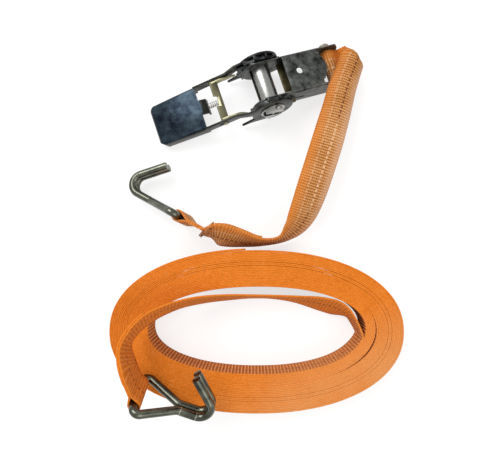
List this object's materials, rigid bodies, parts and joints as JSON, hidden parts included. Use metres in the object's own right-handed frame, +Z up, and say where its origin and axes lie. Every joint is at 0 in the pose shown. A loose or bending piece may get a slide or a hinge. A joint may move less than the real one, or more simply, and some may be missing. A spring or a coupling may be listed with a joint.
{
  "type": "ratchet tie down",
  "caption": "Ratchet tie down: hand ratchet with split spool and pawls, short strap with hook, and a long coiled webbing strap with its own hook.",
  "frame": {"origin": "under the middle of the whole set as it lies, on the table", "axes": "+Z up from the table; +X along the coil's length, towards its plain end; +Y from the coil to the ratchet"},
  "size_m": [0.226, 0.2936, 0.067],
  "materials": {
    "dark_steel": "dark, mottled plated sheet steel",
    "zinc_steel": "dull zinc plating",
    "yellow_zinc": "yellow zinc plating",
    "spring_steel": "bright spring wire",
    "webbing": "woven polyester, orange"
  },
  "bodies": {
    "base": {"base_frame": "dark_steel", "end_bolt": "zinc_steel", "end_nut": "zinc_steel", "lock_spring": "spring_steel", "short_strap_loop": "webbing", "short_strap": "webbing", "short_strap_eye": "webbing"},
    "handle": {"handle_frame": "dark_steel", "drive_spring": "spring_steel"},
    "spool": {"spool_half_front": "zinc_steel", "spool_half_back": "zinc_steel", "wheel_near": "dark_steel", "wheel_far": "dark_steel", "washer_near": "zinc_steel", "washer_far": "zinc_steel", "cotter_near": "zinc_steel", "cotter_far": "zinc_steel"},
    "drive_pawl": {"drive_pawl": "yellow_zinc"},
    "lock_pawl": {"lock_pawl": "yellow_zinc"},
    "short_hook": {"short_hook": "zinc_steel"},
    "long_strap": {"strap_coil": "webbing", "strap_tail": "webbing", "long_strap": "webbing", "long_strap_eye": "webbing"},
    "long_hook": {"long_hook": "zinc_steel"}
  },
  "joints": [
    {"name": "handle_swing", "type": "hinge", "parent": "base", "child": "handle", "pos_m": [0.0062, 0.10838, 0.0188], "axis": [0.3206, -0.9472, 0], "range_deg": [-24.5, 150]},
    {"name": "spool_turn", "type": "hinge", "parent": "base", "child": "spool", "pos_m": [0.0062, 0.10838, 0.0188], "axis": [0.3206, -0.9472, 0], "continuous": true},
    {"name": "drive_pawl_pull", "type": "slide", "parent": "handle", "child": "drive_pawl", "axis": [-0.921, -0.3118, -0.2334], "range_m": [0, 0.0035], "stiffness_N_per_m": 400, "deforming": ["drive_spring"]},
    {"name": "lock_pawl_pull", "type": "slide", "parent": "base", "child": "lock_pawl", "axis": [0.9298, 0.3147, -0.1908], "range_m": [0, 0.0035], "stiffness_N_per_m": 400, "deforming": ["lock_spring"]},
    {"name": "short_hook_swing", "type": "hinge", "parent": "base", "child": "short_hook", "pos_m": [-0.0581, 0.00228, 0.0212], "axis": [-0.1831, 0.0986, 0.9781], "range_deg": [-25, 25]},
    {"name": "strap_set_apart", "type": "slide", "parent": "base", "child": "long_strap", "axis": [0, -1, 0], "range_m": [0, 0.15]},
    {"name": "long_hook_swing", "type": "hinge", "parent": "long_strap", "child": "long_hook", "pos_m": [-0.0839, -0.12392, 0.0465], "axis": [0, -0.3907, 0.9205], "range_deg": [-30, 0]}
  ]
}
